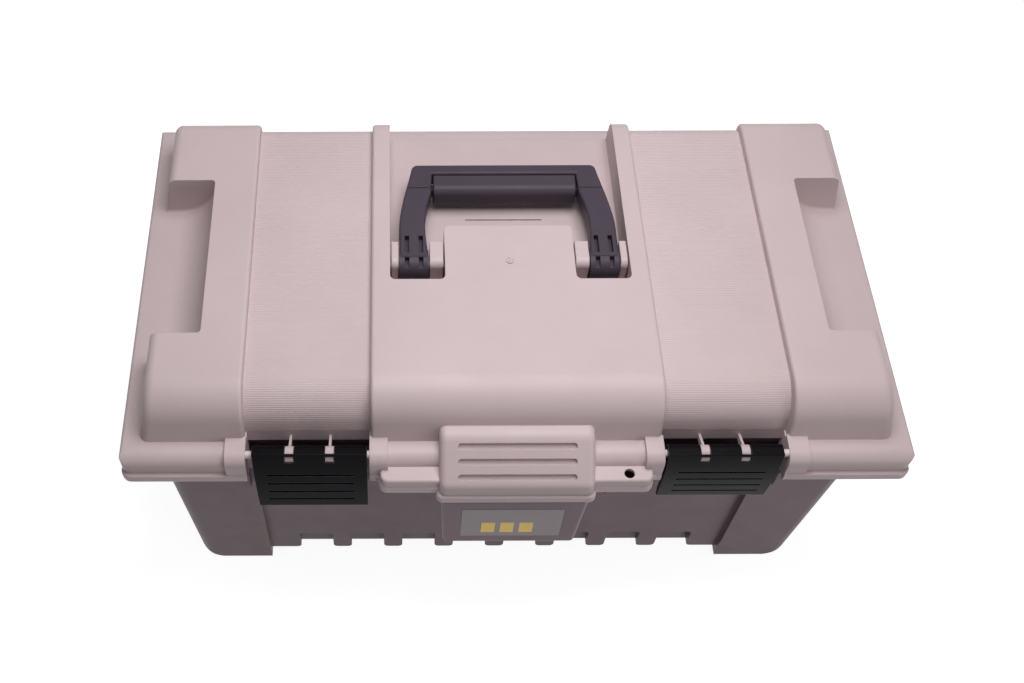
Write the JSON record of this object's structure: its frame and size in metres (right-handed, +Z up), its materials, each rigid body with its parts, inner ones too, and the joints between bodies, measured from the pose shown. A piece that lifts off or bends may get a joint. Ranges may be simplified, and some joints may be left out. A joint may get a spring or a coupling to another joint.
{
  "type": "tackle box",
  "caption": "Moulded tackle box with a hinged lid, over-centre front latches, a folding carry handle, end grips and a lift-out tray with loose dividers.",
  "frame": {"origin": "on the floor under the middle of the box's bounding box", "axes": "+X along the length of the box, -Y the front with the latches, +Z up"},
  "size_m": [0.56, 0.343, 0.276],
  "materials": {
    "lid_plastic": "satin, fine grain",
    "base_plastic": "satin, fine grain",
    "black_plastic": "satin",
    "pale_plastic": "semi-gloss",
    "label_foil": "printed film",
    "rod_steel": "drawn wire",
    "tray_plastic": "satin"
  },
  "bodies": {
    "base": {"base_shell": "base_plastic", "hinge_rod_left": "rod_steel", "hinge_rod_right": "rod_steel", "label_plate": "label_foil"},
    "lid": {"lid_shell": "lid_plastic", "latch_rod_left": "pale_plastic", "latch_rod_right": "pale_plastic", "handle_pin_left": "pale_plastic", "handle_pin_right": "pale_plastic"},
    "handle": {"handle_frame": "black_plastic", "handle_grip": "black_plastic"},
    "latch_left": {"latch_left": "black_plastic"},
    "latch_right": {"latch_right": "black_plastic"},
    "tray": {"tray_shell": "tray_plastic", "tray_divider_1": "tray_plastic", "tray_divider_2": "tray_plastic", "tray_divider_3": "tray_plastic", "tray_divider_4": "tray_plastic", "tray_divider_5": "tray_plastic", "tray_divider_6": "tray_plastic"},
    "tray_handle": {"tray_handle": "black_plastic"}
  },
  "joints": [
    {"name": "lid_hinge", "type": "hinge", "parent": "base", "child": "lid", "pos_m": [0, 0.1645, 0.206], "axis": [-1, 0, 0], "range_deg": [0, 110]},
    {"name": "latch_left_pivot", "type": "hinge", "parent": "lid", "child": "latch_left", "pos_m": [-0.14525, -0.1465, 0.238], "axis": [-1, 0, 0], "range_deg": [-12, 88]},
    {"name": "latch_right_pivot", "type": "hinge", "parent": "lid", "child": "latch_right", "pos_m": [0.14525, -0.1465, 0.238], "axis": [-1, 0, 0], "range_deg": [-2, 95]},
    {"name": "handle_pivot", "type": "hinge", "parent": "lid", "child": "handle", "pos_m": [0, 0, 0.2635], "axis": [1, 0, 0], "range_deg": [0, 92]},
    {"name": "tray_lift", "type": "slide", "parent": "base", "child": "tray", "axis": [0, 0, 1], "range_m": [0, 0.01]},
    {"name": "tray_handle_pivot", "type": "hinge", "parent": "tray", "child": "tray_handle", "pos_m": [0, -0.02, 0.196], "axis": [1, 0, 0], "range_deg": [0, 90]}
  ]
}
